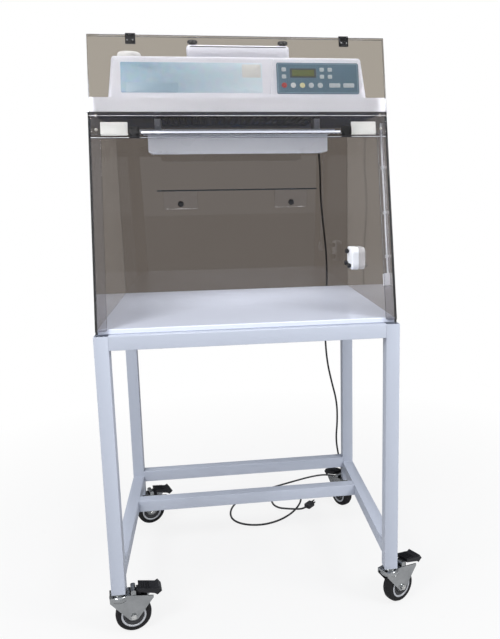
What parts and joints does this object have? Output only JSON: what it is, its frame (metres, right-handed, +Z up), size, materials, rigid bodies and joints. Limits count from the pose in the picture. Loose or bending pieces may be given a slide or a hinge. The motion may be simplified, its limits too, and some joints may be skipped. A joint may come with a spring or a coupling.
{
  "type": "pcr workstation",
  "caption": "Clear bench enclosure with a leaning folding sash, filtered-air head and lamp, on a square-tube stand with braked casters.",
  "frame": {"origin": "on the floor under the middle of the footprint, mains lead apart", "axes": "+X to the viewer's right, +Y to the back, +Z up"},
  "size_m": [0.9254, 0.9607, 1.6409],
  "materials": {
    "powder_coat": "satin white powder coat",
    "work_board": "smooth white",
    "clear_sheet": "clear sheet with a warm grey tint",
    "back_sheet": "clear sheet with a deeper grey tint",
    "sash_sheet": "clear sheet with a warm grey tint",
    "dark_deck": "dark gloss",
    "head_shell": "fine moulded texture, lavender white",
    "black_plastic": "satin black",
    "keypad_film": "slate blue film",
    "filter_media": "white pleats in a frame",
    "motor_metal": "plain",
    "lamp_white": "gloss white",
    "lamp_glass": "frosted tube",
    "white_plastic": "gloss white",
    "caster_steel": "bright zinc",
    "caster_rubber": "dark rubber",
    "hub_grey": "grey moulded",
    "lead_black": "soft black"
  },
  "bodies": {
    "frame": {"blower_motor": "motor_metal", "caster_stems": "caster_steel", "clear_shelf": "clear_sheet", "control_keypad": "keypad_film", "door_switch": "white_plastic", "filter_lid": "head_shell", "front_header": "clear_sheet", "front_strip_left": "clear_sheet", "front_strip_right": "clear_sheet", "head_housing": "head_shell", "header_hinge_leaves": "black_plastic", "hepa_filter": "filter_media", "lamp_housing": "lamp_white", "lamp_tubes": "lamp_glass", "leg_back_left": "powder_coat", "leg_back_right": "powder_coat", "leg_front_left": "powder_coat", "leg_front_right": "powder_coat", "lid_knobs": "black_plastic", "mains_plug": "lead_black", "panel_back": "back_sheet", "panel_left": "clear_sheet", "panel_right": "clear_sheet", "port_cover": "white_plastic", "power_cord": "lead_black", "rail_low_back": "powder_coat", "rail_low_left": "powder_coat", "rail_low_right": "powder_coat", "rail_low_stretcher": "powder_coat", "rail_top_back": "powder_coat", "rail_top_front": "powder_coat", "rail_top_left": "powder_coat", "rail_top_right": "powder_coat", "round_cap": "white_plastic", "strain_relief": "lead_black", "switch_conduit": "white_plastic", "thumb_screws": "black_plastic", "top_deck": "dark_deck", "work_surface": "work_board"},
    "caster_front_left": {"caster_fork_front_left": "caster_steel"},
    "wheel_front_left": {"caster_tyre_front_left": "caster_rubber", "caster_hub_front_left": "hub_grey"},
    "pedal_front_left": {"brake_pedal_front_left": "black_plastic"},
    "caster_front_right": {"caster_fork_front_right": "caster_steel"},
    "wheel_front_right": {"caster_tyre_front_right": "caster_rubber", "caster_hub_front_right": "hub_grey"},
    "pedal_front_right": {"brake_pedal_front_right": "black_plastic"},
    "caster_back_left": {"caster_fork_back_left": "caster_steel"},
    "wheel_back_left": {"caster_tyre_back_left": "caster_rubber", "caster_hub_back_left": "hub_grey"},
    "pedal_back_left": {"brake_pedal_back_left": "black_plastic"},
    "caster_back_right": {"caster_fork_back_right": "caster_steel"},
    "wheel_back_right": {"caster_tyre_back_right": "caster_rubber", "caster_hub_back_right": "hub_grey"},
    "pedal_back_right": {"brake_pedal_back_right": "black_plastic"},
    "sash_upper": {"sash_upper": "sash_sheet", "upper_sash_hinge_leaves": "black_plastic"},
    "sash_lower": {"sash_lower": "sash_sheet", "lower_sash_hinge_leaves": "black_plastic"},
    "blower_rotor": {"blower_wheel": "motor_metal"}
  },
  "joints": [
    {"name": "swivel_front_left", "type": "hinge", "parent": "frame", "child": "caster_front_left", "pos_m": [-0.42978, -0.3514, 0.11], "axis": [0, 0, 1], "continuous": true},
    {"name": "spin_front_left", "type": "hinge", "parent": "caster_front_left", "child": "wheel_front_left", "pos_m": [-0.39521, -0.34592, 0.05], "axis": [-0.1564, 0.9877, 0], "continuous": true},
    {"name": "brake_front_left", "type": "hinge", "parent": "caster_front_left", "child": "pedal_front_left", "pos_m": [-0.37842, -0.34326, 0.10695], "axis": [-0.1564, 0.9877, 0], "range_deg": [0, 7], "stiffness_Nm_per_rad": 2},
    {"name": "swivel_front_right", "type": "hinge", "parent": "frame", "child": "caster_front_right", "pos_m": [0.35122, -0.3514, 0.11], "axis": [0, 0, 1], "continuous": true},
    {"name": "spin_front_right", "type": "hinge", "parent": "caster_front_right", "child": "wheel_front_right", "pos_m": [0.38153, -0.3339, 0.05], "axis": [-0.5, 0.866, 0], "continuous": true},
    {"name": "brake_front_right", "type": "hinge", "parent": "caster_front_right", "child": "pedal_front_right", "pos_m": [0.39625, -0.3254, 0.10695], "axis": [-0.5, 0.866, 0], "range_deg": [0, 7], "stiffness_Nm_per_rad": 2},
    {"name": "swivel_back_left", "type": "hinge", "parent": "frame", "child": "caster_back_left", "pos_m": [-0.42978, 0.2706, 0.11], "axis": [0, 0, 1], "continuous": true},
    {"name": "spin_back_left", "type": "hinge", "parent": "caster_back_left", "child": "wheel_back_left", "pos_m": [-0.39689, 0.28258, 0.05], "axis": [-0.342, 0.9397, 0], "continuous": true},
    {"name": "brake_back_left", "type": "hinge", "parent": "caster_back_left", "child": "pedal_back_left", "pos_m": [-0.38092, 0.28839, 0.10695], "axis": [-0.342, 0.9397, 0], "range_deg": [0, 7], "stiffness_Nm_per_rad": 2},
    {"name": "swivel_back_right", "type": "hinge", "parent": "frame", "child": "caster_back_right", "pos_m": [0.35122, 0.2706, 0.11], "axis": [0, 0, 1], "continuous": true},
    {"name": "spin_back_right", "type": "hinge", "parent": "caster_back_right", "child": "wheel_back_right", "pos_m": [0.33533, 0.30179, 0.05], "axis": [-0.891, -0.454, 0], "continuous": true},
    {"name": "brake_back_right", "type": "hinge", "parent": "caster_back_right", "child": "pedal_back_right", "pos_m": [0.32761, 0.31694, 0.10695], "axis": [-0.891, -0.454, 0], "range_deg": [0, 7], "stiffness_Nm_per_rad": 2},
    {"name": "sash_lift", "type": "hinge", "parent": "frame", "child": "sash_upper", "pos_m": [-0.03928, -0.25067, 1.37066], "axis": [1, 0, 0], "range_deg": [0, 180]},
    {"name": "sash_fold", "type": "hinge", "parent": "sash_upper", "child": "sash_lower", "pos_m": [-0.03928, -0.20433, 1.63794], "axis": [1, 0, 0], "range_deg": [-180, 0]},
    {"name": "blower_spin", "type": "hinge", "parent": "frame", "child": "blower_rotor", "pos_m": [-0.03928, 0.0666, 1.536], "axis": [0, 0, 1], "continuous": true}
  ],
  "couplings": [
    {"joint": "sash_fold", "follows": "sash_lift", "ratio": -1}
  ]
}
